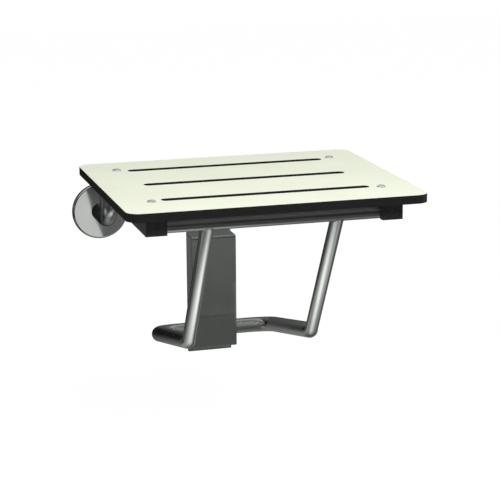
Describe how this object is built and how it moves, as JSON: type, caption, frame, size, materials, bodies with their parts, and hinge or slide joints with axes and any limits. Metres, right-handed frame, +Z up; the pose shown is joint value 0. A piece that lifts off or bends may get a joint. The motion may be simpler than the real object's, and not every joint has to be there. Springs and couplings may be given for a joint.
{
  "type": "fold down wall seat",
  "caption": "Fold-down wall seat: slotted rectangular panel on two rails, hinged on bent tube posts, with a folding tubular brace that slides in a wall bracket.",
  "frame": {"origin": "centre of the guide bracket's four wall screw holes, on the wall's surface", "axes": "+X to the sitter's left along the wall as seen from the front, right in the picture; +Y into the wall; +Z up"},
  "size_m": [0.462, 0.436, 0.3483],
  "materials": {
    "seat_core": "black solid phenolic, satin cut edges",
    "seat_face": "pale ivory satin laminate face",
    "screw_steel": "polished stainless domed heads",
    "rail_black": "black solid phenolic bar, satin",
    "pin_steel": "turned stainless steel",
    "plate_steel": "mill finish stainless plate",
    "polished_steel": "bright polished stainless",
    "post_steel": "polished stainless tube",
    "bush_plastic": "natural nylon",
    "bracket_steel": null,
    "stop_rubber": "black rubber",
    "shoe_plastic": "black nylon",
    "brace_steel": "satin stainless tube"
  },
  "bodies": {
    "wall_side": {"guide_back_plate": "bracket_steel", "guide_channel": "bracket_steel", "stop_pad": "stop_rubber", "anchor_plate_left": "plate_steel", "anchor_plate_right": "plate_steel", "flange_cover_left": "polished_steel", "flange_cover_right": "polished_steel", "hinge_post_left": "post_steel", "hinge_post_right": "post_steel", "hinge_tang_left": "pin_steel", "hinge_tang_right": "pin_steel", "hinge_bush_left": "bush_plastic", "hinge_bush_right": "bush_plastic"},
    "seat": {"seat_core": "seat_core", "seat_face": "seat_face", "seat_face_lower": "seat_face", "seat_screws": "screw_steel", "rail_left": "rail_black", "rail_right": "rail_black", "hinge_pin_left": "pin_steel", "hinge_pin_right": "pin_steel"},
    "shoe": {"shoe_half_front": "shoe_plastic", "shoe_half_rear": "shoe_plastic"},
    "brace": {"lower_frame": "brace_steel", "frame_end_caps": "brace_steel", "leg_left": "brace_steel", "leg_right": "brace_steel", "crossbar": "brace_steel", "crossbar_pins": "pin_steel"}
  },
  "joints": [
    {"name": "seat_fold", "type": "hinge", "parent": "wall_side", "child": "seat", "pos_m": [0, -0.081, 0.204], "axis": [-1, 0, 0], "range_deg": [0, 90]},
    {"name": "shoe_slide", "type": "slide", "parent": "wall_side", "child": "shoe", "axis": [0, 0, 1], "range_m": [0, 0.117]},
    {"name": "brace_swing", "type": "hinge", "parent": "shoe", "child": "brace", "pos_m": [0, -0.01975, -0.068], "axis": [-1, 0, 0], "range_deg": [0, 44.75]}
  ],
  "couplings": [
    {"joint": "shoe_slide", "follows": "seat_fold", "m_per_rad": 0.074484},
    {"joint": "brace_swing", "follows": "seat_fold", "ratio": 0.49722}
  ]
}
